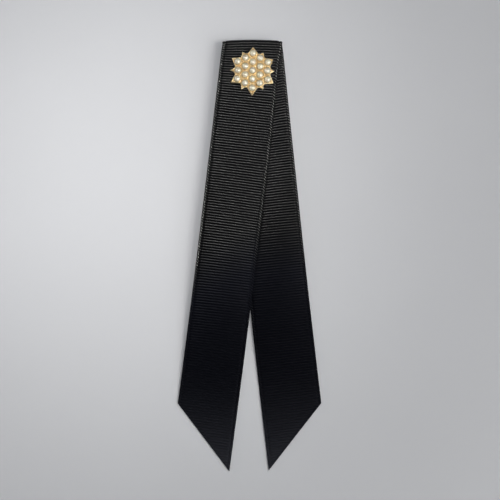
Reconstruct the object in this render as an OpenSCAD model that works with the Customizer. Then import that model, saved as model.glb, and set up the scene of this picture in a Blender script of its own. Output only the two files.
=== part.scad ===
// Ribbon brooch: one length of ribbon folded at the top into two crossing tails,
// with a pearl-set star on the front layer and a bar pin behind.
// It lies face up: +Z is up, +Y points to the fold, and Z = 0 is the surface it lies on.

/* [Ribbon] */
// Width of the ribbon
ribbon_w = 25; // [22:0.5:28]
// Thickness of the ribbon
ribbon_t = 1; // [0.8:0.1:1.2]
// Gap between the two layers at the fold
layer_gap = 0.3; // [0.2:0.05:0.5]
// Distance from the fold at which the weave's rows run square to the tail
square_at = 30; // [20:5:40]

/* [Fold] */
// How much the fold's middle stands above its ends
fold_arch = 0.5; // [0:0.1:1]
// How far the fold's corners are rounded back
corner_drop = 0.3; // [0:0.1:1]
// Length of tail over which the arch dies out
arch_reach = 12; // [8:1:20]

/* [Front tail] */
// Length along the inner edge, fold to tip
front_long = 178.7; // [175:0.1:185]
// Lean away from the centre line at the fold, in degrees
front_lean = 6.4; // [5:0.1:8]
// Lean at the tip, in degrees
front_lean_end = 7.7; // [6:0.1:9]
// Distance from the fold at which the tail starts to come down
front_fall_from = 70; // [65:1:80]
// Distance from the fold at which the tail lies flat
front_fall_to = 162; // [150:1:165]
// Half the angle through which the tail's cross-section is bowed, in degrees
front_bow = 14; // [1:1:15]

/* [Rear tail] */
// Length along the inner edge, fold to tip
rear_long = 178.1; // [175:0.1:185]
// Lean away from the centre line at the fold, in degrees
rear_lean = 5.5; // [5:0.1:8]
// Lean at the tip, in degrees
rear_lean_end = 6.9; // [6:0.1:9]
// Distance from the fold at which the tail starts to come down
rear_fall_from = 30; // [20:1:32]
// Distance from the fold at which the tail lies flat
rear_fall_to = 150; // [140:1:150]
// Half the angle through which the tail's cross-section is bowed, in degrees
rear_bow = 12; // [1:1:13]

/* [Star] */
// Distance of the star's centre from the fold's top edge
star_down = 13.7; // [12:0.1:16]
// Sideways place of the star's centre from the fold's middle
star_side = 0.1; // [-1:0.1:1]
// Turn of the star, in degrees
star_turn = -1.3; // [-5:0.1:5]
// Radius to the six long points
long_point_r = 10.1; // [10:0.1:10.6]
// Radius to the six short points
short_point_r = 8.9; // [8.6:0.1:9.4]
// Radius to the notches between the points
notch_r = 7.45; // [7.4:0.05:7.6]
// Angle from a long point's axis to the notches beside it
notch_angle = 17; // [16:0.5:18]
// Thickness of the star's plate
plate_t = 1; // [0.8:0.1:1.4]
// Radius to the foot of a short point's nub
foot_r = 7.75; // [7.75:0.05:7.85]
// Angle from a short point's axis to the nub's foot
foot_angle = 6.6; // [6.4:0.2:8]
// Radius to the nub's shoulder
shoulder_r = 8.4; // [8.3:0.05:8.5]
// Angle from a short point's axis to the nub's shoulder
shoulder_angle = 3.7; // [3.2:0.1:4.2]
// Width of the raised rim along the outline
rim_w = 0.26; // [0.2:0.02:0.3]
// Height of the rim above the plate
rim_h = 0.35; // [0.2:0.05:0.5]

/* [Pearls] */
// Diameter of a half pearl
pearl_d = 2.9; // [2.7:0.05:2.95]
// Height of a half pearl
pearl_h = 1.6; // [1.5:0.05:1.8]
// Radius of the ring of six round the middle pearl
inner_ring_r = 3.55; // [3.5:0.05:3.65]
// Radius to the six pearls behind the short points
side_ring_r = 6.1; // [6.05:0.05:6.2]
// Radius to the six pearls in the long points
point_ring_r = 7.3; // [7.2:0.05:7.35]
// Height of a pearl's bezel above the plate
bezel_h = 0.5; // [0.3:0.05:0.7]
// Wall of a bezel
bezel_t = 0.12; // [0.1:0.01:0.15]
// Radius of the gold grains between the pearls
grain_r = 0.34; // [0.25:0.01:0.36]

/* [Bar pin] */
// Length of the bar
bar_l = 22; // [18:1:24]
// Width of the bar
bar_w = 5; // [4:0.5:6]
// Thickness of the bar
bar_t = 0.8; // [0.6:0.1:1]
// Height from the surface to the bar's top face
pin_h = 5.2; // [4.5:0.1:6]
// Diameter of the pin's wire
wire_d = 0.9; // [0.7:0.1:1]
// Radius of the hinge barrel and of the catch
barrel_r = 1.2; // [1:0.1:1.4]
// Length of the catch, and of the wire's point beyond it
catch_l = 1.6; // [1.2:0.1:2]

/* [Hidden] */
$fn = 48;
// Gap between pieces that are sewn or glued together
seat_gap = 0.1;
half_w = ribbon_w / 2;
half_t = ribbon_t / 2;

// Levels of the ribbon's middle surface at the fold, and of the star
rear_z = pin_h + seat_gap + half_t;
front_z = rear_z + ribbon_t + layer_gap;
star_z = front_z + half_t + seat_gap;
pearl_z = star_z + plate_t + seat_gap / 2;

// Columns that describe a tail
SIDE = 0;
LONG = 1;
LEAN = 2;
LEAN_END = 3;
TOP_Z = 4;
FALL_FROM = 5;
FALL_TO = 6;
BOW = 7;
//       side  long        lean        lean at tip     top z    fall from        fall to        bow
FRONT = [-1, front_long, front_lean, front_lean_end, front_z, front_fall_from, front_fall_to, front_bow];
REAR = [1, rear_long, rear_lean, rear_lean_end, rear_z, rear_fall_from, rear_fall_to, rear_bow];

// The bow grows and dies between these distances from the fold
bow_grows = [35, 90];
bow_dies = [105, 150];

// Rows across the ribbon: plain ones this far apart, then a few that turn into the slanted cut
row_step = 5;
first_row = 2.5;
last_plain_row = row_step * floor((min(front_long, rear_long) - ribbon_w) / row_step - 0.5);
cut_rows = 5;
fold_rows = 8;
columns = 12;

// Steps smoothly from 0 to 1 as s goes from a to b
function ramp(s, a, b) = let (t = min(max((s - a) / (b - a), 0), 1)) t * t * (3 - 2 * t);

// A tail's lean at distance s from the fold, and its middle line there
function lean(tail, s) = tail[LEAN] + (tail[LEAN_END] - tail[LEAN]) * s / tail[LONG];
function mean_lean(tail, s) = (tail[LEAN] + lean(tail, s)) / 2;
function middle(tail, s) = [
    tail[SIDE] * s * sin(mean_lean(tail, s)),
    -s * cos(mean_lean(tail, s)),
    tail[TOP_Z] + (half_t - tail[TOP_Z]) * ramp(s, tail[FALL_FROM], tail[FALL_TO])
];

// The bowed cross-section: half angle at s, and where a point u across the flat ribbon goes
function bow(tail, s) =
    tail[BOW] * ramp(s, bow_grows[0], bow_grows[1]) * (1 - ramp(s, bow_dies[0], bow_dies[1]));
function bow_radius(a) = half_w * 180 / (PI * a);
function across(a, u) = a == 0 ? u : bow_radius(a) * sin(a * u / half_w);
function rise(a, u) = a == 0 ? 0 : bow_radius(a) * (cos(a * u / half_w) - cos(a));

// How far back of the fold's line a point u across lies. The high power keeps the rounding to the corners.
corner_power = 12;
function fold_drop(u) = fold_arch * pow(u / half_w, 2) + corner_drop * pow(u / half_w, corner_power);

// Length of a tail at u across: the inner edge is long, and the end is cut at 45 degrees
function cut_length(tail, u) = tail[LONG] - (half_w + tail[SIDE] * u);

// A point on a tail's middle surface. Rows lie along the fold there and turn square to the tail.
function tail_point(tail, s, u) =
    let (
        m = middle(tail, s),
        a = bow(tail, s),
        slant = lean(tail, s) * ramp(s, 0, square_at),
        w = across(a, u) / cos(lean(tail, s) - slant),
        fade = pow(max(1 - s / arch_reach, 0), 2)
    )
    [
        m[0] + w * cos(slant),
        m[1] + tail[SIDE] * w * sin(slant) - fold_drop(u) * fade,
        m[2] + rise(a, u)
    ];

// Distances across, closer together towards the edges, and the plain rows' distances along
us = [for (i = [0 : columns]) half_w * sin(180 * i / columns - 90)];
plain_rows = [first_row, for (s = [row_step : row_step : last_plain_row]) s];

// A tail's rows from the fold to the tip. Each row is its outer points, then its inner points.
function skins(tail, row) = [
    for (face = [-tail[SIDE], tail[SIDE]]) for (p = row) p + [0, 0, face * half_t]
];
function tail_rows(tail) = [
    for (s = plain_rows) skins(tail, [for (u = us) tail_point(tail, s, u)]),
    for (k = [1 : cut_rows]) skins(tail, [
        for (u = us)
            let (s = last_plain_row + (cut_length(tail, u) - last_plain_row) * k / cut_rows)
            tail_point(tail, s, u)
    ])
];

// The fold's rows, from the front layer's top round to the rear layer's underside
fold_r = (front_z - rear_z) / 2;
function fold_row(angle) = [
    for (r = [fold_r + half_t, fold_r - half_t]) for (u = us)
        [u, r * cos(angle) - fold_drop(u), rear_z + fold_r + r * sin(angle)]
];

function reversed(list) = [for (i = [len(list) - 1 : -1 : 0]) list[i]];

// The whole ribbon's rows, from the front tip over the fold to the rear tip
ribbon_rows = concat(
    reversed(tail_rows(FRONT)),
    [for (k = [0 : fold_rows]) fold_row(90 - 180 * k / fold_rows)],
    tail_rows(REAR)
);

// The shift that brings the middle of the object's box to X = 0 and Y = 0
function corner(tail) = tail_point(tail, cut_length(tail, tail[SIDE] * half_w), tail[SIDE] * half_w);
function tip(tail) = tail_point(tail, tail[LONG], -tail[SIDE] * half_w);
fold_top = fold_r + half_t;
low_y = min(tip(FRONT)[1], tip(REAR)[1]);
centring = [
    -(corner(FRONT)[0] + corner(REAR)[0]) / 2,
    -(fold_top + low_y) / 2,
    0
];

star_place = [star_side, fold_top - star_down, 0];

// The star's outline: long point, notch, slim short point, notch, six times round
function polar(r, a) = [r * cos(a), r * sin(a)];
star_outline = [
    for (k = [0 : 5]) let (a = 90 + 60 * k) each [
        polar(long_point_r, a),
        polar(notch_r, a + notch_angle),
        polar(foot_r, a + 30 - foot_angle),
        polar(shoulder_r, a + 30 - shoulder_angle),
        polar(short_point_r, a + 30),
        polar(shoulder_r, a + 30 + shoulder_angle),
        polar(foot_r, a + 30 + foot_angle),
        polar(notch_r, a + 60 - notch_angle)
    ]
];

// An outline moved inwards by t, for points that run anticlockwise
function left_normal(a, b) = let (d = (b - a) / norm(b - a)) [-d[1], d[0]];
function inset(points, t) = [
    for (i = [0 : len(points) - 1])
        let (
            here = points[i],
            n1 = left_normal(points[(i + len(points) - 1) % len(points)], here),
            n2 = left_normal(here, points[(i + 1) % len(points)])
        )
        here + t * (n1 + n2) / (1 + n1 * n2)
];

// The pearls' seats: the middle, the inner ring, then the long and the short points in turn
seats = [
    [0, 0],
    for (k = [0 : 5]) polar(inner_ring_r, 90 + 60 * k),
    for (k = [0 : 5]) each [polar(point_ring_r, 90 + 60 * k), polar(side_ring_r, 120 + 60 * k)]
];

// The grains' places: the middles of the triangles between neighbouring seats
function inner_seat(k) = seats[1 + k % 6];
function outer_seat(k) = seats[7 + k % 12];
grain_places = [
    for (k = [0 : 5]) each [
        (seats[0] + inner_seat(k) + inner_seat(k + 1)) / 3,
        (inner_seat(k) + inner_seat(k + 1) + outer_seat(2 * k + 1)) / 3,
        (inner_seat(k) + outer_seat(2 * k) + outer_seat(2 * k + 1)) / 3,
        (inner_seat(k) + outer_seat(2 * k) + outer_seat(2 * k + 11)) / 3
    ]
];

function two_digits(n) = str(n < 10 ? "0" : "", n);
function pearl_name(i) = str("pearl_", two_digits(i + 1));

// A solid lofted through rows of points, each row an outer skin and then an inner skin
module lofted_band(rows) {
    n = len(rows[0]);
    half = n / 2;
    last = (len(rows) - 1) * n;
    function quad(a, b, c, d) = [[a, b, c], [a, c, d]];
    faces = [
        for (i = [0 : len(rows) - 2]) let (p = i * n, q = p + n) each [
            for (j = [0 : half - 2]) each quad(p + j, q + j, q + j + 1, p + j + 1),
            for (j = [half : n - 2]) each quad(p + j, p + j + 1, q + j + 1, q + j),
            each quad(q, p, p + half, q + half),
            each quad(p + half - 1, q + half - 1, q + n - 1, p + n - 1)
        ],
        for (j = [0 : half - 2]) each quad(j, j + 1, j + half + 1, j + half),
        for (j = [last : last + half - 2]) each quad(j, j + half, j + half + 1, j + 1)
    ];
    polyhedron(points = [for (row = rows) each row], faces = faces);
}

module ribbon() {
    color("#15161a")
        translate(centring)
            lofted_band(ribbon_rows);
}

// One pearl's bezel: a thin upright ring
module bezel() {
    wall_inner = pearl_d / 2 + seat_gap / 2;
    wall_outer = wall_inner + bezel_t;
    difference() {
        cylinder(r = wall_outer, h = bezel_h + plate_t / 2);
        cylinder(r = wall_inner, h = bezel_h + plate_t);
    }
}

module star_setting() {
    color("#d6a95c")
        translate(centring + star_place + [0, 0, star_z])
            rotate(star_turn) {
                linear_extrude(plate_t)
                    polygon(star_outline);
                linear_extrude(plate_t + rim_h)
                    difference() {
                        polygon(star_outline);
                        polygon(inset(star_outline, rim_w));
                    }
                for (seat = seats)
                    translate([seat[0], seat[1], plate_t / 2])
                        bezel();
                grain_z = plate_t + grain_r / 3;
                for (place = grain_places)
                    translate([place[0], place[1], grain_z])
                        sphere(grain_r);
            }
}

// A half pearl on its flat back, the widest part just above it
module pearl(i) {
    color("#e8e0cc")
        translate(centring + star_place + [0, 0, pearl_z])
            rotate(star_turn)
                translate(seats[i])
                    difference() {
                        translate([0, 0, pearl_h - pearl_d / 2])
                            sphere(d = pearl_d);
                        translate([0, 0, -pearl_d / 2])
                            cube([2 * pearl_d, 2 * pearl_d, pearl_d], center = true);
                    }
}

// The bar pin, closed: bar, hinge with its barrel, wire and slotted catch, all one piece
module bar_pin() {
    end_r = bar_w / 2;
    bar_z = pin_h - bar_t;
    catch_x = bar_l / 2 - end_r - bar_t / 2;
    hinge_x = -catch_x;
    ear_w = 2 * barrel_r;
    ear_t = 0.6;
    ear_y = 1.3;
    leg_h = bar_z - barrel_r + bar_t / 2;
    catch_hole_r = 0.6;
    slot_h = 1.2 * wire_d;
    wire_end = catch_x + catch_l / 2 + barrel_r / 2;
    color("#c9ccd0")
        translate(centring + star_place) {
            bar_strip(end_r, bar_z);
            for (side = [-1, 1])
                translate([hinge_x - ear_w / 2, side * ear_y - ear_t / 2, barrel_r])
                    cube([ear_w, ear_t, leg_h]);
            translate([hinge_x, 0, barrel_r])
                rotate([90, 0, 0])
                    cylinder(r = barrel_r, h = 2 * ear_y + ear_t, center = true);
            translate([hinge_x, 0, barrel_r])
                rotate([0, 90, 0])
                    cylinder(d = wire_d, h = wire_end - hinge_x);
            translate([wire_end, 0, barrel_r])
                rotate([0, 90, 0])
                    cylinder(d1 = wire_d, d2 = wire_d / 4, h = catch_l);
            difference() {
                union() {
                    translate([catch_x, 0, barrel_r])
                        rotate([0, 90, 0])
                            cylinder(r = barrel_r, h = catch_l, center = true);
                    translate([catch_x - catch_l / 2, -ear_t / 2, barrel_r])
                        cube([catch_l, ear_t, leg_h]);
                }
                translate([catch_x, 0, barrel_r])
                    rotate([0, 90, 0])
                        cylinder(r = catch_hole_r, h = 2 * catch_l, center = true);
                translate([catch_x - catch_l, -2 * barrel_r, barrel_r - slot_h / 2])
                    cube([2 * catch_l, 2 * barrel_r, slot_h]);
            }
        }
}

// The bar itself, a flat strip with round ends
module bar_strip(end_r, bar_z) {
    translate([0, 0, bar_z + bar_t / 2])
        cube([bar_l - 2 * end_r, bar_w, bar_t], center = true);
    for (side = [-1, 1])
        translate([side * (bar_l / 2 - end_r), 0, bar_z])
            cylinder(r = end_r, h = bar_t);
}

ribbon();
star_setting();
bar_pin();
for (i = [0 : len(seats) - 1]) pearl(i);
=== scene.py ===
"""A ribbon brooch: folded grosgrain, a cast star set with half pearls, and a bar pin behind.

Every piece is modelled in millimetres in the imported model's own frame, and its mesh is brought to metres
when it is finished. +Z is up, +Y points to the fold, and Z = 0 is the surface that the brooch lies on.
"""

import logging
import math
from dataclasses import dataclass, field
from enum import Enum
from typing import Optional, Union

import bmesh
import bpy
from mathutils import Matrix, Vector, noise


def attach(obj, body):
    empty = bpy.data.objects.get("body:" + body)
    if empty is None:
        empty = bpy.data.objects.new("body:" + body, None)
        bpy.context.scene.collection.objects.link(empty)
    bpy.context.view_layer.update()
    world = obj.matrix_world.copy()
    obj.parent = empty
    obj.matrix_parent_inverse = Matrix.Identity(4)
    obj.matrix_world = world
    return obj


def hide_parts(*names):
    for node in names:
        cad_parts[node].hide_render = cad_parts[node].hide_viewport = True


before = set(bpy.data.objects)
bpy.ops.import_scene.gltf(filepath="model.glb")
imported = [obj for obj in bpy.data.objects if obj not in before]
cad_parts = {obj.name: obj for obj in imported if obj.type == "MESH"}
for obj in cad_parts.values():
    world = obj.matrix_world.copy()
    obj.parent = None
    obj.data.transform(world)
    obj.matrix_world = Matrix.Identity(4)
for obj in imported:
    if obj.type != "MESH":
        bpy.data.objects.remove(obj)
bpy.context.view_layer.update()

log = logging.getLogger("ribbon_brooch")

MM = 0.001
BODY = "root"

# Without a seed, mathutils takes the offsets of its noise vectors from the clock
NOISE_SEED = 7

# What all bevels share, and the angle from which a creased piece keeps an edge sharp
BEVEL = {"profile": 0.5, "affect": "EDGES", "material": -1}
CREASE = math.radians(38)

Colour = tuple[float, float, float]
Point2 = tuple[float, float]


class Slot(Enum):
    """The record's material slots."""

    RIBBON = "ribbon"
    GOLD = "gold"
    PEARL = "pearl"
    STEEL = "steel"


class Shading(Enum):
    """How a piece's faces are shaded."""

    SMOOTH = "smooth"
    CREASED = "creased"


def ramp(x: float, start: float, end: float) -> float:
    """Step smoothly from 0 to 1.

    Args:
        x: The value to look at.
        start: Where the step starts.
        end: Where the step has reached 1.

    Returns:
        A number from 0 to 1.
    """
    t = min(max((x - start) / (end - start), 0.0), 1.0)
    return t * t * (3 - 2 * t)


def polar(radius: float, degrees: float) -> Point2:
    """Return the point at a radius and an angle."""
    return radius * math.cos(math.radians(degrees)), radius * math.sin(math.radians(degrees))


# Shader tools


class Wire:
    """A shader socket that takes part in Python arithmetic: each operation adds a Math node."""

    def __init__(self, tree: bpy.types.NodeTree, socket: bpy.types.NodeSocket) -> None:
        """Keep the tree and the socket."""
        self.tree = tree
        self.socket = socket

    def math(self, operation: str, *values: "Number", swapped: bool = False) -> "Wire":
        """Add a Math node.

        Args:
            operation: The Math node's operation.
            values: What goes into the sockets beside this one.
            swapped: Whether the first value comes before this socket.

        Returns:
            The result's socket.
        """
        node = self.tree.nodes.new("ShaderNodeMath")
        node.operation = operation
        parts = [self, *values]
        if swapped:
            parts[0], parts[1] = parts[1], parts[0]
        for slot, part in zip(node.inputs, parts):
            if isinstance(part, Wire):
                self.tree.links.new(part.socket, slot)
            else:
                slot.default_value = part
        return Wire(self.tree, node.outputs[0])

    def __add__(self, other: "Number") -> "Wire":
        """Return the sum."""
        return self.math("ADD", other)

    __radd__ = __add__

    def __mul__(self, other: "Number") -> "Wire":
        """Return the product."""
        return self.math("MULTIPLY", other)

    __rmul__ = __mul__

    def __sub__(self, other: "Number") -> "Wire":
        """Return the difference."""
        return self.math("SUBTRACT", other)

    def __rsub__(self, other: "Number") -> "Wire":
        """Return the difference from a number."""
        return self.math("SUBTRACT", other, swapped=True)

    def __truediv__(self, other: "Number") -> "Wire":
        """Return the quotient."""
        return self.math("DIVIDE", other)

    def __rtruediv__(self, other: "Number") -> "Wire":
        """Return a number divided by this."""
        return self.math("DIVIDE", other, swapped=True)

    def __pow__(self, other: "Number") -> "Wire":
        """Return the power."""
        return self.math("POWER", other)

    def sine(self) -> "Wire":
        """Return the sine."""
        return self.math("SINE")

    def absolute(self) -> "Wire":
        """Return the absolute value."""
        return self.math("ABSOLUTE")

    def whole(self) -> "Wire":
        """Return the whole part."""
        return self.math("FLOOR")

    def limited(self) -> "Wire":
        """Return the value kept from 0 to 1."""
        return self.math("MAXIMUM", 0.0).math("MINIMUM", 1.0)


Number = Union[Wire, float]


class NodeSheet:
    """A node tree that is written node by node."""

    def __init__(self, tree: bpy.types.NodeTree) -> None:
        """Start with an empty tree."""
        self.tree = tree
        self.tree.nodes.clear()

    @staticmethod
    def _socket(sockets: bpy.types.bpy_prop_collection, key: Union[str, int]) -> bpy.types.NodeSocket:
        """Find a socket.

        Args:
            sockets: A node's inputs or outputs.
            key: The socket's identifier, or else its name or number.

        Returns:
            The socket.
        """
        for socket in sockets:
            if socket.identifier == key:
                return socket
        return sockets[key]

    def add(
        self,
        kind: str,
        settings: Optional[dict] = None,
        inputs: Optional[dict] = None,
        out: str = "",
    ) -> Wire:
        """Add a node.

        Args:
            kind: The node's type.
            settings: Its properties.
            inputs: Values or wires by socket.
            out: The output to return, the first one where it is empty.

        Returns:
            The output's socket.
        """
        node = self.tree.nodes.new(kind)
        for key, value in (settings or {}).items():
            setattr(node, key, value)
        self.fill(node, inputs or {})
        socket = self._socket(node.outputs, out) if out else node.outputs[0]
        return Wire(self.tree, socket)

    def fill(self, node: bpy.types.Node, inputs: dict) -> None:
        """Set or link a node's sockets.

        Args:
            node: The node.
            inputs: Values or wires by socket.
        """
        for key, value in inputs.items():
            socket = self._socket(node.inputs, key)
            if isinstance(value, Wire):
                self.tree.links.new(value.socket, socket)
            elif isinstance(value, tuple) and socket.type == "RGBA":
                socket.default_value = (*value, 1.0)
            else:
                socket.default_value = value


class ShaderSheet(NodeSheet):
    """One material's nodes, with a Principled shader at the end."""

    def __init__(self, name: str) -> None:
        """Start an empty material with its output and shader.

        Args:
            name: The material's name.
        """
        self.material = bpy.data.materials.new(name)
        self.material.use_nodes = True
        super().__init__(self.material.node_tree)
        self.shader = self.tree.nodes.new("ShaderNodeBsdfPrincipled")
        output = self.tree.nodes.new("ShaderNodeOutputMaterial")
        self.tree.links.new(self.shader.outputs["BSDF"], output.inputs["Surface"])

    def finish(self, **inputs: Union[Wire, float, Colour]) -> bpy.types.Material:
        """Fill the shader's sockets, named with underscores for spaces, and return the material."""
        self.fill(self.shader, {key.replace("_", " "): value for key, value in inputs.items()})
        return self.material

    def place(self) -> Wire:
        """Return the piece's Object coordinates."""
        return self.add("ShaderNodeTexCoord", out="Object")

    def height(self, place: Wire, low_mm: float, high_mm: float) -> Wire:
        """Measure how high a point lies.

        Args:
            place: The Object coordinates.
            low_mm: The height that gives 0.
            high_mm: The height that gives 1.

        Returns:
            A value from 0 to 1.
        """
        z = self.add("ShaderNodeSeparateXYZ", inputs={"Vector": place}, out="Z")
        return ((z / MM - low_mm) / (high_mm - low_mm)).limited()

    def noise(self, where: Wire, per_mm: float, detail: float = 2.0, roughness: float = 0.5) -> Wire:
        """Add a noise.

        Args:
            where: The coordinates, in metres.
            per_mm: How many of its features lie in a millimetre.
            detail: Its octaves.
            roughness: How strong the finer octaves are.

        Returns:
            The noise's value.
        """
        inputs = {"Vector": where, "Scale": per_mm / MM, "Detail": detail, "Roughness": roughness}
        return self.add("ShaderNodeTexNoise", inputs=inputs, out="Fac")

    def blend(self, factor: Number, low: Union[Wire, Colour], high: Union[Wire, Colour]) -> Wire:
        """Mix two colours.

        Args:
            factor: 0 for the low one, 1 for the high one.
            low: A colour or its wire.
            high: A colour or its wire.

        Returns:
            The mixed colour.
        """
        inputs = {"Factor_Float": factor, "A_Color": low, "B_Color": high}
        return self.add("ShaderNodeMix", {"data_type": "RGBA"}, inputs, out="Result_Color")

    def bump(self, height: Wire, depth_mm: float, strength: float = 1.0) -> Wire:
        """Add a bump.

        Args:
            height: The height, from 0 to 1.
            depth_mm: What a height of 1 stands for.
            strength: How much of it is used.

        Returns:
            The normal.
        """
        inputs = {"Height": height, "Distance": depth_mm * MM, "Strength": strength}
        return self.add("ShaderNodeBump", inputs=inputs)


# Finishes


@dataclass(frozen=True)
class GrosgrainFinish:
    """Black cross-ribbed ribbon: warp threads over each rib, and painted shade in the valleys between.

    The ribs are glossy near the fold. Away from it the gloss is dulled as painted shade and the cloth takes
    a bluish painted haze of reflected light, and painted light makes the cut ends a little paler.
    """

    # Colours of the cloth, with painted shade in its valleys, a bluish painted haze and painted light at the
    # cut ends, then of the gloss on the ribs and on the selvedge's beads
    crest: Colour = (0.0013, 0.0013, 0.0016)
    shaded_valley: Colour = (0.0006, 0.0006, 0.0009)
    painted_haze: Colour = (0.0024, 0.0026, 0.0042)
    painted_end_light: Colour = (0.0150, 0.0154, 0.0190)
    crest_shine: Colour = (0.0120, 0.0119, 0.0114)
    bead_shine: Colour = (0.066, 0.066, 0.062)
    # Millimetres across the ribbon
    width: float = 25.0
    selvedge: float = 1.2
    bead_middle: float = 0.60
    bead_reach: float = 0.34
    thread_pitch: float = 0.3
    # The gloss lies beside the crest, on the side towards the fold, by this part of a rib
    gloss_shift: float = 0.09
    gloss_power: float = 5.0
    # How much gloss the painted shade takes away at the end of its fade, and how much more on the front tail
    gloss_loss: float = 0.72
    front_loss: float = 0.14
    bead_loss: float = 0.85
    # Millimetres from the fold over which the painted shade dulls the gloss, and over which
    # painted light makes the ends paler
    fade: Point2 = (79.0, 99.0)
    end_light_span: Point2 = (135.0, 175.0)
    # How much sooner the painted shade dulls the gloss at the front tail's right edge than at its left one,
    # in millimetres, and the place across the tail, from 0 to 1, where it falls as on the rear tail
    fade_lean: float = 16.0
    fade_even: float = 0.80

    def material(self, rib_count: float, rib_pitch: float) -> bpy.types.Material:
        """Make the material.

        Args:
            rib_count: How many ribs the ribbon has from end to end.
            rib_pitch: The distance from rib to rib, in millimetres.

        Returns:
            The material.
        """
        sheet = ShaderSheet("black_grosgrain")
        across = sheet.add("ShaderNodeSeparateXYZ", inputs={"Vector": sheet.add("ShaderNodeUVMap")}, out="X")
        along = Wire(sheet.tree, across.socket.node.outputs["Y"])
        rib_place = (along - 0.5) * rib_count
        on_crest = (rib_place * math.pi).sine().absolute()
        warp = (across * (self.width / self.thread_pitch) + rib_place.whole() * 0.5) * math.pi
        thread = warp.sine().absolute()
        place = sheet.place()
        cloudy = sheet.noise(place, 0.12, 3.0)
        fuzz = sheet.noise(place, 6.0, 3.0, 0.7)
        # Painted shade: the valleys are coloured darker than the crests.
        light = (on_crest ** 1.5 * (0.55 + thread * 0.45) * (0.7 + cloudy * 0.6)).limited()
        height = thread * 0.6 + fuzz * 0.4
        to_edge = self.width / 2 - (across - 0.5).absolute() * self.width
        in_selvedge = (1 - to_edge / self.selvedge).limited().math("SIGN")
        on_bead = (1 - ((to_edge - self.bead_middle) / self.bead_reach) ** 2.0).limited()
        from_fold = rib_place.absolute() * rib_pitch
        on_front = (rib_place * -1.0).limited()
        earlier = on_front * (across - self.fade_even) * self.fade_lean
        # Painted shade away from the fold: the gloss is dulled and the cloth takes a bluish painted haze.
        painted_shade_fade = ((from_fold + earlier - self.fade[0]) / (self.fade[1] - self.fade[0])).limited()
        # Painted light makes the cut ends paler.
        end_light = ((from_fold - self.end_light_span[0]) / (self.end_light_span[1] - self.end_light_span[0])).limited() ** 2.0
        cloth = sheet.blend(painted_shade_fade, sheet.blend(light, self.shaded_valley, self.crest), self.painted_haze)
        cloth = sheet.blend(end_light, cloth, self.painted_end_light)
        bead = in_selvedge * on_bead * (0.6 + fuzz * 0.6) * (1 - painted_shade_fade * self.bead_loss)
        towards_fold = ((rib_place.absolute() + self.gloss_shift) * math.pi).sine().absolute()
        loss = painted_shade_fade * (self.gloss_loss + on_front * self.front_loss)
        gloss = (towards_fold ** self.gloss_power * (0.75 + thread * 0.3) * (1 - loss)).limited()
        shine = sheet.blend(bead.limited(), self.crest_shine, self.bead_shine)
        return sheet.finish(
            Base_Color=sheet.blend(gloss, cloth, shine),
            Metallic=gloss,
            Roughness=0.30 + fuzz * 0.05,
            Specular_IOR_Level=0.012,
            Normal=sheet.bump(height, 0.035, 0.5),
        )


@dataclass(frozen=True)
class GoldFinish:
    """Cast gold-tone metal, pale on the raised edges and orange-brown in the recesses."""

    raised: Colour = (0.92, 0.78, 0.48)
    recess: Colour = (0.64, 0.41, 0.18)
    low_z: float = 8.55
    high_z: float = 9.15

    def material(self) -> bpy.types.Material:
        """Make the material.

        Returns:
            The material.
        """
        sheet = ShaderSheet("pale_gold")
        place = sheet.place()
        lifted = sheet.height(place, self.low_z, self.high_z)
        worn = sheet.noise(place, 1.3, 3.0)
        grain = sheet.noise(place, 9.0, 4.0, 0.6)
        light = (lifted * 0.6 + (worn - 0.5) * 2.4 + 0.30).limited()
        return sheet.finish(
            Base_Color=sheet.blend(light, self.recess, self.raised),
            Metallic=1.0,
            Roughness=0.46 - lifted * 0.20 + (grain - 0.5) * 0.4,
            Normal=sheet.bump(grain, 0.04, 0.7),
        )


@dataclass(frozen=True)
class PearlFinish:
    """Cream nacre with a faint pink and green overtone, and painted shade with a painted gold reflection at
    its foot.
    """

    cream: Colour = (0.58, 0.53, 0.39)
    rose: Colour = (0.60, 0.50, 0.38)
    green: Colour = (0.53, 0.54, 0.36)
    shade_and_gold_reflection: Colour = (0.60, 0.43, 0.20)
    low_z: float = 9.25
    high_z: float = 9.75
    green_shift: tuple[float, float, float] = (0.02, 0.01, 0.0)

    def material(self) -> bpy.types.Material:
        """Make the material.

        Returns:
            The material.
        """
        sheet = ShaderSheet("cream_nacre")
        place = sheet.place()
        blush = sheet.noise(place, 0.45, 2.0)
        beside = sheet.add("ShaderNodeVectorMath", {"operation": "ADD"}, {0: place, 1: self.green_shift})
        moss = sheet.noise(beside, 0.5)
        tint = sheet.blend(((blush - 0.45) * 3.5).limited(), self.cream, self.rose)
        tint = sheet.blend(((moss - 0.5) * 3.5).limited(), tint, self.green)
        # Painted shade and a painted reflection of the gold seat colour the pearl's foot.
        clear_of_foot_shade = sheet.height(place, self.low_z, self.high_z)
        skin = sheet.noise(place, 3.0, 3.0)
        return sheet.finish(
            Base_Color=sheet.blend(clear_of_foot_shade, self.shade_and_gold_reflection, tint),
            Metallic=0.22,
            Roughness=0.36 + skin * 0.08,
            Specular_IOR_Level=0.5,
            Coat_Weight=1.0,
            Coat_Roughness=0.16,
            Coat_IOR=2.0,
            Subsurface_Weight=0.35,
            Subsurface_Radius=(0.0014, 0.0012, 0.0009),
            Subsurface_Scale=1.0,
            Normal=sheet.bump(skin, 0.02, 0.25),
        )


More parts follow.
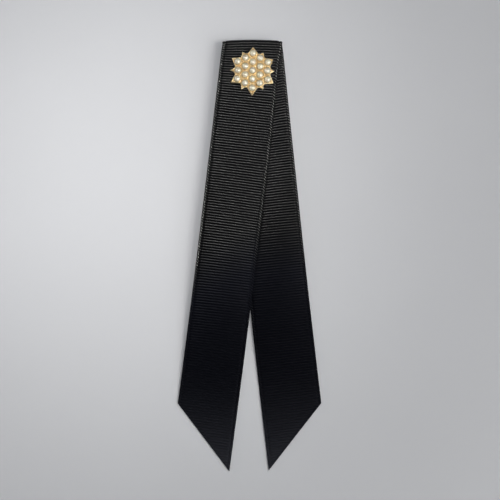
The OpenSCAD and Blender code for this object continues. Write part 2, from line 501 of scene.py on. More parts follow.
@dataclass(frozen=True)
class SteelFinish:
    """Plated steel with fine lengthwise drawing marks."""

    tone: Colour = (0.62, 0.62, 0.60)
    dull: Colour = (0.42, 0.42, 0.42)

    def material(self) -> bpy.types.Material:
        """Make the material.

        Returns:
            The material.
        """
        sheet = ShaderSheet("plated_steel")
        place = sheet.place()
        drawn = sheet.add("ShaderNodeMapping", inputs={"Vector": place, "Scale": (0.06, 1.0, 1.0)})
        streak = sheet.noise(drawn, 9.0, 4.0, 0.6)
        patch = sheet.noise(place, 0.6, 3.0)
        return sheet.finish(
            Base_Color=sheet.blend(patch, self.dull, self.tone),
            Metallic=1.0,
            Roughness=0.24 + streak * 0.16,
            Normal=sheet.bump(streak, 0.01, 0.5),
        )


@dataclass(frozen=True)
class TableFinish:
    """The plain pale floor."""

    tone: Colour = (0.375, 0.375, 0.385)
    shade: Colour = (0.350, 0.350, 0.360)

    def material(self) -> bpy.types.Material:
        """Make the material.

        Returns:
            The material.
        """
        sheet = ShaderSheet("pale_floor")
        soft = sheet.noise(sheet.place(), 0.012, 2.0)
        return sheet.finish(Base_Color=sheet.blend(soft, self.shade, self.tone), Roughness=0.9)


# Mesh tools


def make_piece(
    bm: bmesh.types.BMesh,
    name: str,
    material: bpy.types.Material,
    shading: Shading,
) -> bpy.types.Object:
    """Turn a bmesh in millimetres into a finished object in metres, at the origin.

    Args:
        bm: The mesh, which is freed.
        name: The object's name.
        material: Its material.
        shading: Whether faces that meet at a sharp angle keep a crease.

    Returns:
        The new object.
    """
    bmesh.ops.scale(bm, vec=(MM, MM, MM), verts=bm.verts)
    bmesh.ops.recalc_face_normals(bm, faces=bm.faces)
    for face in bm.faces:
        face.smooth = True
    if shading is Shading.CREASED:
        for edge in bm.edges:
            if len(edge.link_faces) == 2 and edge.calc_face_angle() > CREASE:
                edge.smooth = False
    mesh = bpy.data.meshes.new(name)
    bm.to_mesh(mesh)
    bm.free()
    mesh.materials.append(material)
    piece = bpy.data.objects.new(name, mesh)
    bpy.context.scene.collection.objects.link(piece)
    return piece


def dress(piece: bpy.types.Object, slot: Slot, *nodes: str) -> bpy.types.Object:
    """Let a piece ride on the body and stand for its nodes.

    Args:
        piece: The piece.
        slot: Not used.
        nodes: The nodes that it stands for.

    Returns:
        The piece.
    """
    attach(piece, BODY)
    if nodes:
        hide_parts(*nodes)
    log.info("%s: %d faces", piece.name, len(piece.data.polygons))
    return piece


def closed_spin(
    bm: bmesh.types.BMesh,
    profile: list[Point2],
    centre: Vector,
    axis: Vector,
    out: Vector,
    steps: int,
) -> None:
    """Spin a closed profile all the way round an axis.

    Args:
        bm: The mesh to add to.
        profile: Points as distance from the axis and distance along it.
        centre: A point on the axis.
        axis: The axis's direction.
        out: The direction in which the profile is drawn.
        steps: How many steps the turn has.
    """
    ring = [bm.verts.new(centre + out * r + axis * z) for r, z in profile]
    edges = [bm.edges.new(ends) for ends in zip(ring, ring[1:] + ring[:1])]
    turn = {"cent": centre, "axis": axis, "angle": math.tau, "steps": steps}
    bmesh.ops.spin(bm, geom=ring + edges, use_merge=True, use_duplicate=False, **turn)


def swept_tube(bm: bmesh.types.BMesh, path: list[Vector], radii: list[float], sides: int) -> None:
    """Sweep a round section along a path and close both ends.

    Args:
        bm: The mesh to add to.
        path: The path's points.
        radii: The radius at each point.
        sides: How many sides the section has.
    """
    rings: list[list[bmesh.types.BMVert]] = []
    loops: list[list[bmesh.types.BMEdge]] = []
    for i, (point, radius) in enumerate(zip(path, radii)):
        ahead = (path[min(i + 1, len(path) - 1)] - path[max(i - 1, 0)]).normalized()
        turn = ahead.to_track_quat("Z", "Y").to_matrix().to_4x4()
        place = Matrix.Translation(point) @ turn
        rings.append(bmesh.ops.create_circle(bm, segments=sides, radius=radius, matrix=place)["verts"])
        loops.append(list(dict.fromkeys(edge for vert in rings[-1] for edge in vert.link_edges)))
        if i > 0:
            bmesh.ops.bridge_loops(bm, edges=loops[-2] + loops[-1])
    for ring in (rings[0], rings[-1]):
        bmesh.ops.contextual_create(bm, geom=ring)


# Ribbon


@dataclass(frozen=True)
class Tail:
    """One tail of the ribbon, in millimetres and degrees, as the solid has it.

    The side is -1 for the tail that leans to the left and 1 for the one that leans to the right. Each
    pair in weave_turns is a distance from the fold and the ribs' turn there.
    """

    side: int
    long_edge: float
    lean_top: float
    lean_tip: float
    top_z: float
    fall_from: float
    fall_to: float
    bow_angle: float
    weave_turns: tuple[Point2, ...]

    def lean(self, s: float) -> float:
        """Return the lean away from the centre line at a distance from the fold."""
        return self.lean_top + (self.lean_tip - self.lean_top) * s / self.long_edge

    def weave_turn(self, s: float) -> float:
        """Find how far the ribs turn beyond square.

        Args:
            s: Distance from the fold.

        Returns:
            The turn, in degrees.
        """
        turns = self.weave_turns
        for (s0, a0), (s1, a1) in zip(turns, turns[1:]):
            if s <= s1:
                return a0 + (a1 - a0) * ramp(s, s0, s1)
        return turns[-1][1]


@dataclass
class Ribbon:
    """One length of grosgrain, cut flat at 45 degrees at both ends and folded into two tails.

    Lengths are in millimetres. A pair is the distances from the fold at which a change starts and is
    complete.
    """

    width: float = 25.0
    thickness: float = 1.0
    layer_gap: float = 0.3
    pin_height: float = 5.2
    seat_gap: float = 0.1
    square_at: float = 30.0
    fold_arch: float = 0.5
    corner_drop: float = 0.3
    corner_power: float = 12.0
    arch_reach: float = 12.0
    tuck: float = 0.45
    arch_start: float = 4.0
    tuck_fades: Point2 = (18.0, 45.0)
    tuck_grows: float = 9.0
    bow_grows: Point2 = (35.0, 90.0)
    bow_dies: Point2 = (105.0, 150.0)
    rib_pitch: float = 1.1
    rib_steps: int = 6
    crest: float = 0.48
    body_valley: float = 0.15
    edge_valley: float = 0.07
    edge_band: float = 1.25
    edge_hook: float = 0.8
    bead_place: float = 0.55
    bead_reach: float = 0.62
    hook_grows: Point2 = (1.0, 7.0)
    square_end: float = 5.0
    roundness: float = 1.35
    rib_change: float = 0.05
    edge_distances: tuple[float, ...] = (0.0, 0.12, 0.32, 0.55, 0.8, 1.02, 1.22, 1.45, 2.2, 5.0, 9.0)
    star_side: float = 0.1
    star_drop: float = 13.7
    finish: GrosgrainFinish = field(default_factory=GrosgrainFinish)

    def __post_init__(self) -> None:
        """Work out the levels, the tails and the shift to the middle of the solid's box."""
        self.half_w = self.width / 2
        self.half_t = self.thickness / 2
        self.rear_z = self.pin_height + self.seat_gap + self.half_t
        self.front_z = self.rear_z + self.thickness + self.layer_gap
        self.fold_r = (self.front_z - self.rear_z) / 2
        self.half_fold = math.pi * self.fold_r / 2
        self.front = Tail(
            side=-1,
            long_edge=178.7,
            lean_top=6.4,
            lean_tip=7.7,
            top_z=self.front_z,
            fall_from=70,
            fall_to=162,
            bow_angle=14,
            weave_turns=((0, 0), (40, 0), (70, 1.1), (120, -1.2), (150, 0)),
        )
        self.rear = Tail(
            side=1,
            long_edge=178.1,
            lean_top=5.5,
            lean_tip=6.9,
            top_z=self.rear_z,
            fall_from=30,
            fall_to=150,
            bow_angle=12,
            weave_turns=((0, 0), (5, 7), (12, 9.6), (25, 6), (45, 2), (80, 0), (120, -0.5), (150, 0)),
        )
        ends = [self._outer_corner(tail)[0] for tail in (self.front, self.rear)]
        low = min(self._inner_tip(tail)[1] for tail in (self.front, self.rear))
        self.fold_top = self.fold_r + self.half_t
        self.centring = Vector((-sum(ends) / 2, -(self.fold_top + low) / 2, 0.0))
        self.reach = max(self.front.long_edge, self.rear.long_edge) + self.half_fold

    @property
    def star_level(self) -> float:
        """The height at which the star's plate starts."""
        return self.front_z + self.half_t + self.seat_gap

    @property
    def star_place(self) -> Vector:
        """The point of the surface under the star's middle."""
        return self.centring + Vector((self.star_side, self.fold_top - self.star_drop, 0.0))

    def _middle(self, tail: Tail, s: float) -> Vector:
        """Find a point of a tail's middle line.

        Args:
            tail: The tail.
            s: Distance from the fold.

        Returns:
            The point, before centring.
        """
        mean = math.radians((tail.lean_top + tail.lean(s)) / 2)
        fall = (self.half_t - tail.top_z) * ramp(s, tail.fall_from, tail.fall_to)
        return Vector((tail.side * s * math.sin(mean), -s * math.cos(mean), tail.top_z + fall))

    def _bow(self, tail: Tail, s: float) -> float:
        """Return half the angle of the bowed cross-section at a distance from the fold, in radians."""
        grown = ramp(s, *self.bow_grows) * (1 - ramp(s, *self.bow_dies))
        return math.radians(tail.bow_angle * grown)

    def _tail_point(self, tail: Tail, s: float, u: float) -> Vector:
        """Return a point on a tail's middle surface.

        Args:
            tail: The tail.
            s: Distance from the fold.
            u: Distance from the middle line across the flat ribbon.

        Returns:
            The point, before centring.
        """
        middle = self._middle(tail, s)
        angle = self._bow(tail, s)
        across, rise = u, 0.0
        if angle > 1e-6:
            radius = self.half_w / angle
            across = radius * math.sin(angle * u / self.half_w)
            rise = radius * (math.cos(angle * u / self.half_w) - math.cos(angle))
        lean = math.radians(tail.lean(s))
        slant = lean * ramp(s, 0, self.square_at)
        widened = across * (1 + (1 / math.cos(lean - slant) - 1) * ramp(s, 0, self.arch_start))
        if tail.side < 0 < u:
            tucked = ramp(s, 0, self.tuck_grows) * (1 - ramp(s, *self.tuck_fades))
            widened -= self.tuck * (u / self.half_w) ** 3 * tucked
        fade = max(1 - s / self.arch_reach, 0.0) ** 2
        return middle + Vector((
            widened * math.cos(slant),
            tail.side * widened * math.sin(slant) - self._fold_drop(u) * fade,
            rise,
        ))

    def _fold_drop(self, u: float) -> float:
        """Return how far back of the fold's line a point lies."""
        part = abs(u) / self.half_w
        return self.fold_arch * part**2 + self.corner_drop * part**self.corner_power

    def _outer_corner(self, tail: Tail) -> Vector:
        """Return the corner where the slanted cut meets a tail's outer edge."""
        return self._tail_point(tail, tail.long_edge - self.width, tail.side * self.half_w)

    def _inner_tip(self, tail: Tail) -> Vector:
        """Return a tail's tip on its inner edge."""
        return self._tail_point(tail, tail.long_edge, -tail.side * self.half_w)

    def _folded(self, t: float, u: float) -> Vector:
        """Take a point of the flat ribbon's middle to its place on the folded one.

        Args:
            t: Distance from the fold's middle along the flat ribbon, negative on the front tail.
            u: Distance from the middle line.

        Returns:
            The point, before centring.
        """
        if abs(t) <= self.half_fold:
            angle = -t / self.fold_r
            y = self.fold_r * math.cos(angle) - self._fold_drop(u)
            return Vector((u, y, self.rear_z + self.fold_r + self.fold_r * math.sin(angle)))
        tail = self.front if t < 0 else self.rear
        s = abs(t) - self.half_fold
        to_cut = tail.long_edge - (self.half_w + tail.side * u) - s
        kept = ramp(to_cut, 0, self.square_end)
        s -= tail.side * math.tan(math.radians(tail.weave_turn(s))) * u * kept
        hook = ramp(abs(u), self.half_w - self.edge_band, self.half_w) * ramp(s, *self.hook_grows) * kept
        s += math.copysign(self.edge_hook * hook, u)
        return self._tail_point(tail, max(s, 0.0), u)

    def _rib(self, t: float, u: float) -> float:
        """Measure a rib, with the weave's small differences.

        Args:
            t: Distance from the fold's middle along the flat ribbon.
            u: Distance from the middle line.

        Returns:
            0 in a valley and about 1 on a rib's crest.
        """
        place = t / self.rib_pitch
        number = math.floor(place)
        crest = 1 - abs(2 * (place - number) - 1) ** self.roundness
        return crest * (1 + self.rib_change * noise.noise(Vector((number * 7.31, u * 0.22, 3.7))))

    def _half_thickness(self, t: float, u: float) -> float:
        """Find half the ribbon's thickness: ribs in the body, one bead per rib along each selvedge.

        Args:
            t: Distance from the fold's middle along the flat ribbon.
            u: Distance from the middle line.

        Returns:
            Half the thickness.
        """
        edge = self.half_w - abs(u)
        rib = self.body_valley + (self.crest - self.body_valley) * self._rib(t, u)
        phase = 2 * (t / self.rib_pitch - math.floor(t / self.rib_pitch)) - 1
        capped = math.sqrt(max(1 - abs((edge - self.bead_place) / self.bead_reach) ** 4, 0.0))
        round_bead = capped * (1 - abs(phase) ** self.roundness)
        bead = self.edge_valley + (self.crest - self.edge_valley) * round_bead
        return bead + (rib - bead) * ramp(edge, self.edge_band - 0.1, self.edge_band + 0.25)

    def _flat_slab(self) -> bmesh.types.BMesh:
        """Make the flat ribbon as a slab, cut at 45 degrees at both ends.

        Returns:
            The slab, with X across and Y along, and with its UV map.
        """
        bm = bmesh.new()
        inner = [self.half_w - d for d in self.edge_distances]
        columns = sorted({*inner, *(-u for u in inner), 0.0})
        step = self.rib_pitch / self.rib_steps
        rows = 2 * math.ceil(self.reach / step)
        bmesh.ops.create_grid(bm, x_segments=len(columns) - 1, y_segments=rows, size=1.0)
        for vert in bm.verts:
            column = round((vert.co.x + 1) / 2 * (len(columns) - 1))
            row = round((vert.co.y + 1) / 2 * rows) - rows // 2
            vert.co = Vector((columns[column], row * step, 0.0))
        for tail in (self.front, self.rear):
            end = tail.side * (tail.long_edge - self.half_w + self.half_fold)
            everything = bm.verts[:] + bm.edges[:] + bm.faces[:]
            cut = {"plane_co": (0, end, 0), "plane_no": Vector((1, 1, 0)) * tail.side}
            bmesh.ops.bisect_plane(bm, geom=everything, clear_outer=True, **cut)
        bmesh.ops.solidify(bm, geom=bm.faces[:], thickness=self.thickness)
        layer = bm.loops.layers.uv.new("UVMap")
        for face in bm.faces:
            for loop in face.loops:
                x, y = loop.vert.co.x, loop.vert.co.y
                loop[layer].uv = (x / self.width + 0.5, y / (2 * self.reach) + 0.5)
        for face in bm.faces:
            if abs(face.normal.x) > 0.5 and abs(face.normal.y) > 0.5:
                for edge in face.edges:
                    edge.smooth = False
        return bm

    def _fold(self, bm: bmesh.types.BMesh) -> None:
        """Take the flat slab's vertices to the folded ribbon's faces.

        Args:
            bm: The slab.
        """
        heights = [v.co.z for v in bm.verts]
        level = (min(heights) + max(heights)) / 2
        known: dict[tuple[int, int], tuple[Vector, Vector, float]] = {}
        small = 0.04
        for vert in bm.verts:
            u, t, face = vert.co.x, vert.co.y, math.copysign(1.0, vert.co.z - level)
            key = (round(u * 1e4), round(t * 1e4))
            if key not in known:
                here = self._folded(t, u)
                along = self._folded(t + small, u) - self._folded(t - small, u)
                flat = u * (1 - small / self.half_w)
                sideways = self._folded(t, flat + small) - self._folded(t, flat - small)
                outward = sideways.cross(along).normalized()
                known[key] = (here, outward, self._half_thickness(t, u))
            here, outward, half = known[key]
            vert.co = here + outward * (half * face) + self.centring

    def build(self) -> bpy.types.Object:
        """Returns:
            The ribbon's object.
        """
        bm = self._flat_slab()
        self._fold(bm)
        material = self.finish.material(2 * self.reach / self.rib_pitch, self.rib_pitch)
        piece = dress(make_piece(bm, "folded_ribbon", material, Shading.SMOOTH), Slot.RIBBON, "ribbon")
        length = self.front.long_edge + self.rear.long_edge + 2 * self.half_fold
        area = self.width * (length - self.width)
        length * MM
        area * MM * MM
        return piece


# Star


@dataclass
class Star:
    """The cast star: a twelve-pointed plate with a rim, nineteen bezels and the grains between them.

    Lengths are in millimetres and angles in degrees. Each pair in wobbles is how fine a change of the
    cast surface is and how large.
    """

    centre: Vector
    turn: float = -1.3
    long_tips: tuple[float, ...] = (9.95, 10.1, 10.3, 10.45, 10.1, 9.7)
    short_tips: tuple[float, ...] = (9.0, 9.35, 9.25, 9.0, 8.95, 8.7)
    notch_r: float = 7.45
    notch_angle: float = 17.0
    foot_r: float = 7.75
    foot_angle: float = 6.2
    spike_r: float = 8.4
    spike_angle: float = 2.7
    plate_t: float = 1.0
    rim_w: float = 0.24
    rim_h: float = 0.35
    rim_slope: float = 0.09
    rim_bevel: float = 0.07
    seat_gap: float = 0.1
    inner_ring_r: float = 3.55
    side_ring_r: float = 6.1
    point_ring_r: float = 7.3
    pearl_r: float = 1.45
    pearl_h: float = 1.6
    pearl_change: float = 0.02
    bezel_t: float = 0.17
    bezel_h: float = 0.45
    bezel_foot: float = 0.15
    grain_r: float = 0.36
    grain_rise: float = 0.45
    grain_height: float = 0.85
    grain_change: float = 0.15
    wobbles: tuple[Point2, ...] = ((0.9, 0.045), (2.6, 0.02))
    gold: GoldFinish = field(default_factory=GoldFinish)
    nacre: PearlFinish = field(default_factory=PearlFinish)

    def seats(self) -> list[Point2]:
        """List the pearls' places.

        Returns:
            The middle, the inner ring, then the long and short points in turn.
        """
        places = [(0.0, 0.0)] + [polar(self.inner_ring_r, 90 + 60 * k) for k in range(6)]
        for k in range(6):
            places += [polar(self.point_ring_r, 90 + 60 * k), polar(self.side_ring_r, 120 + 60 * k)]
        return places

    def _grain_places(self) -> list[Point2]:
        """List the grains' places.

        Returns:
            The middles of the triangles between neighbouring pearls.
        """
        seats = self.seats()
        inner, outer = seats[1:7], seats[7:]
        threes = []
        for k in range(6):
            after, pair = inner[(k + 1) % 6], (2 * k, (2 * k + 1) % 12, (2 * k + 11) % 12)
            threes += [
                (seats[0], inner[k], after),
                (inner[k], after, outer[pair[1]]),
                (inner[k], outer[pair[0]], outer[pair[1]]),
                (inner[k], outer[pair[0]], outer[pair[2]]),
            ]
        return [(sum(p[0] for p in three) / 3, sum(p[1] for p in three) / 3) for three in threes]

    def _outline(self) -> list[Point2]:
        """List the corners of the star's outline.

        Returns:
            The corners, anticlockwise.
        """
        points: list[Point2] = []
        for k in range(6):
            a = 90 + 60 * k
            points += [
                polar(self.long_tips[k], a),
                polar(self.notch_r, a + self.notch_angle),
                polar(self.foot_r, a + 30 - self.foot_angle),
                polar(self.spike_r, a + 30 - self.spike_angle),
                polar(self.short_tips[k], a + 30),
                polar(self.spike_r, a + 30 + self.spike_angle),
                polar(self.foot_r, a + 30 + self.foot_angle),
                polar(self.notch_r, a + 60 - self.notch_angle),
            ]
        return points

    def _plate(self, bm: bmesh.types.BMesh) -> None:
        """Add the plate: an extruded outline with a rim round a dished face.

        Args:
            bm: The mesh to add to.
        """
        corners = [bm.verts.new((x, y, 0.0)) for x, y in self._outline()]
        base = bm.faces.new(corners)
        raised = bmesh.ops.extrude_face_region(bm, geom=[base], use_keep_orig=True)
        top = next(g for g in raised["geom"] if isinstance(g, bmesh.types.BMFace))
        bmesh.ops.translate(bm, verts=top.verts, vec=(0, 0, self.plate_t + self.rim_h))
        bmesh.ops.recalc_face_normals(bm, faces=bm.faces)
        rim_edges = list(top.edges)
        for width, depth in ((self.rim_w, 0.0), (self.rim_slope, -self.rim_h)):
            bmesh.ops.inset_region(bm, faces=[top], thickness=width, depth=depth, use_even_offset=True)
            if depth == 0.0:
                rim_edges += list(top.edges)
        bmesh.ops.bevel(bm, geom=rim_edges, offset=self.rim_bevel, segments=2, clamp_overlap=True, **BEVEL)
        bmesh.ops.triangulate(bm, faces=[f for f in bm.faces if len(f.verts) > 4])

    def _bezel(self, bm: bmesh.types.BMesh, place: Point2) -> None:
        """Add the thin ring that holds one pearl.

        Args:
            bm: The mesh to add to.
            place: The pearl's middle.
        """
        inner, outer = self.pearl_r + 0.01, self.pearl_r + self.bezel_t
        z, tall = self.plate_t, self.bezel_h
        profile = [
            (outer + 0.05, z - self.bezel_foot),
            (outer, z + 0.6 * tall),
            (outer - 0.05, z + 0.93 * tall),
            (outer - 0.10, z + tall),
            (inner + 0.01, z + 0.9 * tall),
            (inner, z + 0.5 * tall),
            (inner, z - self.bezel_foot),
        ]
        closed_spin(bm, profile, Vector((*place, 0.0)), Vector((0, 0, 1)), Vector((1, 0, 0)), 28)

    def _place(self, bm: bmesh.types.BMesh, level: float) -> None:
        """Turn a mesh as the star is turned and bring it to the star's centre.

        Args:
            bm: The mesh.
            level: How far above the star's underside it comes.
        """
        turn = Matrix.Rotation(math.radians(self.turn), 4, "Z")
        shift = Matrix.Translation(self.centre + Vector((0, 0, level)))
        bmesh.ops.transform(bm, matrix=shift @ turn, verts=bm.verts)

    def build_setting(self) -> bpy.types.Object:
        """Make the cast star as one piece.

        Returns:
            The star's object.
        """
        bm = bmesh.new()
        self._plate(bm)
        for place in self.seats():
            self._bezel(bm, place)
        for i, (x, y) in enumerate(self._grain_places()):
            size = self.grain_r * (1 + self.grain_change * noise.noise(Vector((i * 1.7, 4.2, 0.3))))
            raised = Matrix.Translation((x, y, self.plate_t + self.grain_rise * size))
            grain = raised @ Matrix.Diagonal((1, 1, self.grain_height, 1))
            bmesh.ops.create_icosphere(bm, subdivisions=2, radius=size, matrix=grain)
        for vert in bm.verts:
            moves = [noise.noise_vector(vert.co * fineness) * size for fineness, size in self.wobbles]
            wobble = sum(moves, Vector())
            vert.co += Vector((wobble.x, wobble.y, wobble.z * 0.5))
        self._place(bm, 0.0)
        piece = make_piece(bm, "cast_star", self.gold.material(), Shading.CREASED)
        return dress(piece, Slot.GOLD, "star_setting")

    def build_pearls(self) -> list[bpy.types.Object]:
        """Make the nineteen half pearls, each a little different.

        Returns:
            The pearls' objects.
        """
        material = self.nacre.material()
        sunk = self.pearl_r - self.pearl_h
        below = {"plane_co": (0, 0, sunk), "plane_no": (0, 0, -1)}
        pearls = []
        for i, (x, y) in enumerate(self.seats()):
            bm = bmesh.new()
            bmesh.ops.create_uvsphere(bm, u_segments=40, v_segments=24, radius=self.pearl_r)
            for vert in bm.verts:
                change = noise.noise(vert.co * 0.55 + Vector((i * 3.1, 0.4, 7.7)))
                vert.co *= 1 + self.pearl_change * change
            everything = bm.verts[:] + bm.edges[:] + bm.faces[:]
            cut = bmesh.ops.bisect_plane(bm, geom=everything, clear_outer=True, **below)
            rim = [g for g in cut["geom_cut"] if isinstance(g, bmesh.types.BMEdge)]
            bmesh.ops.contextual_create(bm, geom=rim)
            bmesh.ops.translate(bm, verts=bm.verts, vec=(x, y, -sunk))
            self._place(bm, self.plate_t + self.seat_gap / 2)
            name = f"half_pearl_{i + 1:02d}"
            piece = make_piece(bm, name, material, Shading.CREASED)
            pearls.append(dress(piece, Slot.PEARL, f"pearl_{i + 1:02d}"))
        return pearls


# Bar pin


@dataclass
class BarPin:
    """The pin on the back: a strip with a hinge and a catch at its ends, and the closed wire."""

    centre: Vector
    length: float = 22.0
    width: float = 5.0
    strip_t: float = 0.8
    height: float = 5.2
    wire_r: float = 0.45
    barrel_r: float = 1.2
    ear_part: float = 0.92
    ear_y: float = 1.3
    ear_t: float = 0.5
    ear_root: float = 0.1
    rivet_r: float = 0.5
    coil_r: float = 0.72
    coil_w: float = 0.9
    coil_turns: int = 2
    catch_r: float = 0.68
    catch_w: float = 1.6
    catch_from: float = 62.0
    catch_turn: float = 268.0
    finish: SteelFinish = field(default_factory=SteelFinish)

    def _strip(self, bm: bmesh.types.BMesh) -> None:
        """Add the strip with round ends and softened edges.

        Args:
            bm: The mesh to add to, which is still empty.
        """
        end_r = self.width / 2
        reach = self.length / 2 - end_r
        made = bmesh.ops.create_circle(bm, cap_ends=True, segments=48, radius=end_r)
        for vert in made["verts"]:
            if abs(vert.co.x) > 1e-6:
                vert.co.x += math.copysign(reach, vert.co.x)
        face = made["verts"][0].link_faces[0]
        raised = bmesh.ops.extrude_face_region(bm, geom=[face], use_keep_orig=True)
        top = [g for g in raised["geom"] if isinstance(g, bmesh.types.BMVert)]
        bmesh.ops.translate(bm, verts=top, vec=(0, 0, self.strip_t))
        rims = [e for e in bm.edges if abs(e.verts[0].co.z - e.verts[1].co.z) < 1e-6]
        bmesh.ops.bevel(bm, geom=rims, offset=0.15, segments=3, **BEVEL)
        bmesh.ops.translate(bm, verts=bm.verts, vec=(0, 0, self.height - self.strip_t))

    def _ear(self, bm: bmesh.types.BMesh, x: float, y: float, thick: float) -> None:
        """Add one upright ear from the strip down round the pivot.

        Args:
            bm: The mesh to add to.
            x: The ear's middle along the strip.
            y: The ear's middle across the strip.
            thick: The ear's thickness.
        """
        made = bmesh.ops.create_cube(bm, size=1.0)
        ear_r = self.barrel_r * self.ear_part
        tall = self.height - self.strip_t + self.ear_root - self.barrel_r
        raised = Matrix.Translation((x, y, self.barrel_r + tall / 2))
        upright = raised @ Matrix.Diagonal((2 * ear_r, thick, tall, 1))
        bmesh.ops.transform(bm, matrix=upright, verts=made["verts"])
        across = Matrix.Translation((x, y, self.barrel_r)) @ Matrix.Rotation(math.pi / 2, 4, "X")
        round_end = {"radius1": ear_r, "radius2": ear_r, "depth": thick, "matrix": across}
        disc = bmesh.ops.create_cone(bm, cap_ends=True, segments=32, **round_end)
        edges = dict.fromkeys(e for v in disc["verts"] + made["verts"] for e in v.link_edges)
        sharp = [e for e in edges if e.calc_face_angle(0) > 1.2]
        bmesh.ops.bevel(bm, geom=sharp, offset=0.08, segments=2, clamp_overlap=True, **BEVEL)

    def _hinge(self, bm: bmesh.types.BMesh, x: float) -> None:
        """Add the two ears, the rivet with its heads and the wire's coil.

        Args:
            bm: The mesh to add to.
            x: The pivot's place along the strip.
        """
        for side in (-1, 1):
            self._ear(bm, x, side * self.ear_y, self.ear_t)
        head = [(0.001, -0.16), (0.45, -0.16), (0.62, -0.08), (0.66, 0.06), (0.001, 0.06)]
        pivot = Vector((x, 0, self.barrel_r))
        for side in (-1, 1):
            out = pivot + Vector((0, side * (self.ear_y + self.ear_t / 2 + 0.02), 0))
            closed_spin(bm, head, out, Vector((0, -side, 0)), Vector((1, 0, 0)), 20)
        rivet_r, end = self.rivet_r, self.ear_y
        rivet = [(0.001, -end), (rivet_r, -end), (rivet_r, end), (0.001, end)]
        closed_spin(bm, rivet, pivot, Vector((0, 1, 0)), Vector((1, 0, 0)), 20)
        coil = []
        steps = 64
        for k in range(steps + 1):
            a = math.radians(90 + k * 360 * self.coil_turns / steps)
            y = -self.coil_w / 2 + self.coil_w * k / steps
            coil.append(pivot + Vector((self.coil_r * math.cos(a), y, -self.coil_r * math.sin(a))))
        swept_tube(bm, coil, [self.wire_r * 0.95] * len(coil), 12)

    def _wire(self, bm: bmesh.types.BMesh, start: float, end: float) -> None:
        """Add the closed wire, which narrows to its point beyond the catch.

        Args:
            bm: The mesh to add to.
            start: Where the wire leaves the hinge.
            end: Where its point is.
        """
        points = [start, start + 1, (start + end) / 2, end - 2.4, end - 1.6, end - 0.8, end - 0.25, end]
        radii = [1.0, 1.0, 1.0, 1.0, 0.85, 0.55, 0.25, 0.08]
        path = [Vector((x, 0, self.barrel_r)) for x in points]
        swept_tube(bm, path, [self.wire_r * r for r in radii], 20)

    def _catch(self, bm: bmesh.types.BMesh, x: float) -> None:
        """Add the catch: sheet metal that comes down from the strip and curls round the wire.

        Args:
            bm: The mesh to add to.
            x: The catch's middle along the strip.
        """
        inner, outer = self.catch_r, self.barrel_r * 0.96
        middle, half = (inner + outer) / 2, (outer - inner) / 2
        path = [Vector((x, 0.35, self.height - self.strip_t + self.ear_root))]
        steps = 14
        for k in range(steps + 1):
            a = math.radians(self.catch_from - self.catch_turn * k / steps)
            path.append(Vector((x, middle * math.cos(a), self.barrel_r + middle * math.sin(a))))
        before = set(bm.verts)
        swept_tube(bm, path, [half] * len(path), 16)
        for vert in bm.verts:
            if vert not in before:
                vert.co.x = x + (vert.co.x - x) * self.catch_w / (2 * half)

    def build(self) -> bpy.types.Object:
        """Make the closed pin as one piece.

        Returns:
            The pin's object.
        """
        bm = bmesh.new()
        self._strip(bm)
        catch_x = self.length / 2 - self.width / 2 - self.strip_t / 2
        self._hinge(bm, -catch_x)
        self._catch(bm, catch_x)
        wire_end = catch_x + self.catch_w / 2 + self.barrel_r / 2 + self.catch_w
        self._wire(bm, -catch_x + 0.6, wire_end)
        bmesh.ops.translate(bm, verts=bm.verts, vec=self.centre)
        piece = make_piece(bm, "pin_back", self.finish.material(), Shading.CREASED)
        return dress(piece, Slot.STEEL, "bar_pin")


# Studio


class LampKind(Enum):
    """The kinds of lamp that the studio has."""

    PANEL = "AREA"
    CONE = "SPOT"


class Reach(Enum):
    """What a lamp lights."""

    ALL = "everything"
    CLOTH = "the ribbon"
    JEWEL = "the star and its pearls"
    FLOOR = "the floor"


@dataclass(frozen=True)
class Lamp:
    """One lamp, in metres, degrees and watts.

    A panel's size is its height and its width. A cone's is the radius of its lamp, and cone and blend
    say how wide it shines and how soft its edge is.
    """

    name: str
    kind: LampKind
    aim: Vector
    azimuth: float
    elevation: float
    distance: float
    size: Point2
    power: float
    tone: Colour = (1.0, 1.0, 1.0)
    cone: float = 30.0
    blend: float = 0.22
    reach: Reach = Reach.ALL

    @property
    def place(self) -> Vector:
        """Where the lamp hangs. Azimuth 0 is +X and 90 is +Y."""
        x, y = polar(math.cos(math.radians(self.elevation)), self.azimuth)
        return self.aim + Vector((x, y, math.sin(math.radians(self.elevation)))) * self.distance


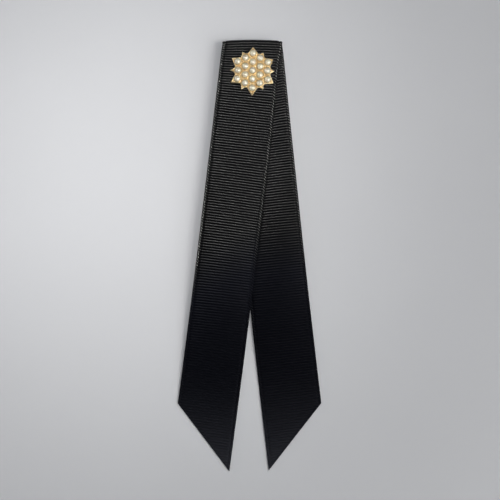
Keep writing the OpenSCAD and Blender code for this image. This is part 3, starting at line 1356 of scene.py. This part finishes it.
@dataclass
class Studio:
    """The plain floor, the soft lights and the camera over the brooch, in metres and degrees.

    Each row in sheens has a lamp's name, the X and Y that it aims at, its azimuth and its watts.
    """

    distance: float = 0.600
    tilt: float = 4.0
    target: Point2 = (0.000167, 0.002014)
    lens: float = 102.99
    sensor: float = 36.0
    room_base: float = 0.08
    room_sides: float = 0.90
    finish: TableFinish = field(default_factory=TableFinish)
    room_tone: Colour = (0.88, 0.94, 1.0)
    floor_half: float = 2.0
    middle: Vector = field(default_factory=lambda: Vector((0, 0.02, 0.005)))
    sheen_cone: float = 5.8
    sheens: tuple[tuple[str, float, float, float, float], ...] = (
        ("sheen_right", -0.020, 0.080, 73, 27),
        ("sheen_middle", -0.030, 0.083, 85, 27),
        ("sheen_left", -0.045, 0.077, 97, 62),
        ("sheen_rear", 0.012, 0.126, 90, 15),
        ("sheen_edge", 0.040, 0.080, 56, 80),
    )
    subjects: dict[Reach, list[bpy.types.Object]] = field(default_factory=dict)

    def _camera(self) -> None:
        """Add the camera, which looks down from a little below the upright."""
        camera = bpy.data.cameras.new("camera")
        camera.sensor_width = self.sensor
        camera.lens = self.lens
        camera.clip_start, camera.clip_end = 0.01, 20
        seen = bpy.data.objects.new("camera", camera)
        tilt = math.radians(self.tilt)
        x, y = self.target
        seen.location = (x, y - self.distance * math.sin(tilt), self.distance * math.cos(tilt))
        seen.rotation_euler = (tilt, 0, 0)
        bpy.context.scene.collection.objects.link(seen)
        bpy.context.scene.camera = seen

    def _light(self, lamp: Lamp) -> None:
        """Hang one lamp.

        Args:
            lamp: The lamp.
        """
        light = bpy.data.lights.new(lamp.name, lamp.kind.value)
        light.energy = lamp.power
        light.color = lamp.tone
        if lamp.kind is LampKind.PANEL:
            light.shape = "RECTANGLE"
            light.size, light.size_y = lamp.size
        else:
            light.shadow_soft_size = lamp.size[0]
            light.spot_size = math.radians(lamp.cone)
            light.spot_blend = lamp.blend
        hung = bpy.data.objects.new(lamp.name, light)
        hung.location = lamp.place
        hung.rotation_mode = "QUATERNION"
        hung.rotation_quaternion = (lamp.aim - lamp.place).to_track_quat("-Z", "X")
        bpy.context.scene.collection.objects.link(hung)
        if lamp.reach is not Reach.ALL:
            lit = bpy.data.collections.new(f"lit_by_{lamp.name}")
            for subject in self.subjects[lamp.reach]:
                lit.objects.link(subject)
            hung.light_linking.receiver_collection = lit
            hung.light_linking.blocker_collection = lit

    def _floor(self) -> None:
        """Add the floor."""
        bm = bmesh.new()
        bmesh.ops.create_grid(bm, x_segments=2, y_segments=2, size=self.floor_half / MM)
        floor = make_piece(bm, "floor", self.finish.material(), Shading.SMOOTH)
        self.subjects[Reach.FLOOR] = [floor]

    def _surroundings(self) -> None:
        """Fill the room with slightly cool light that comes from the left and the right."""
        world = bpy.data.worlds.new("room")
        world.use_nodes = True
        sheet = NodeSheet(world.node_tree)
        towards = sheet.add("ShaderNodeTexCoord", out="Generated")
        sideways = sheet.add("ShaderNodeSeparateXYZ", inputs={"Vector": towards}, out="X")
        strength = sideways * sideways * self.room_sides + self.room_base
        glow = sheet.add("ShaderNodeBackground", inputs={"Color": self.room_tone, "Strength": strength})
        sheet.fill(sheet.tree.nodes.new("ShaderNodeOutputWorld"), {"Surface": glow})
        bpy.context.scene.world = world

    def build(self) -> None:
        """Make the camera, the floor and the lights."""
        self._camera()
        self._floor()
        self._surroundings()
        bpy.context.scene.view_settings.view_transform = "Standard"
        log.info("studio: camera and floor")

    def hang_lamps(self, ribbon: bpy.types.Object, jewels: list[bpy.types.Object]) -> None:
        """Hang the lamps.

        Args:
            ribbon: The ribbon, which the sheen lamps light alone.
            jewels: The star and its pearls, which the fill lamp lights alone.
        """
        self.subjects[Reach.CLOTH] = [ribbon]
        self.subjects[Reach.JEWEL] = jewels
        lamps = [
            Lamp(
                "key", LampKind.PANEL, self.middle, azimuth=-20, elevation=62, distance=1.8,
                size=(0.80, 0.28), power=8.0, tone=(1.0, 0.975, 0.94),
            ),
            Lamp(
                "window", LampKind.PANEL, self.middle, azimuth=-28, elevation=54, distance=1.5,
                size=(1.7, 1.0), power=15.0, tone=(0.97, 0.985, 1.0),
            ),
            Lamp(
                "fill", LampKind.PANEL, self.middle, azimuth=160, elevation=40, distance=1.5,
                size=(0.9, 0.5), power=5.2, tone=(1.0, 0.98, 0.95), reach=Reach.JEWEL,
            ),
            Lamp(
                "glow", LampKind.CONE, Vector((-0.063, 0.040, 0)), azimuth=20, elevation=74, distance=1.2,
                size=(0.07, 0), power=54, cone=13, blend=1, reach=Reach.FLOOR,
            ),
        ]
        for name, x, y, azimuth, watts in self.sheens:
            lamps.append(Lamp(
                name, LampKind.CONE, Vector((x, y, 0.006)), azimuth, elevation=34, distance=1.2,
                size=(0.008, 0), power=watts, cone=self.sheen_cone, reach=Reach.CLOTH,
            ))
        for lamp in lamps:
            self._light(lamp)
        log.info("studio: lamps")


def main() -> None:
    """Build the brooch and its studio."""
    logging.basicConfig(level=logging.INFO, format="%(name)s: %(message)s")
    noise.seed_set(NOISE_SEED)
    studio = Studio()
    studio.build()
    ribbon = Ribbon()
    folded = ribbon.build()
    star = Star(ribbon.star_place + Vector((0, 0, ribbon.star_level)))
    studio.hang_lamps(folded, [star.build_setting(), *star.build_pearls()])
    BarPin(ribbon.star_place).build()


if __name__ == "__main__":
    main()
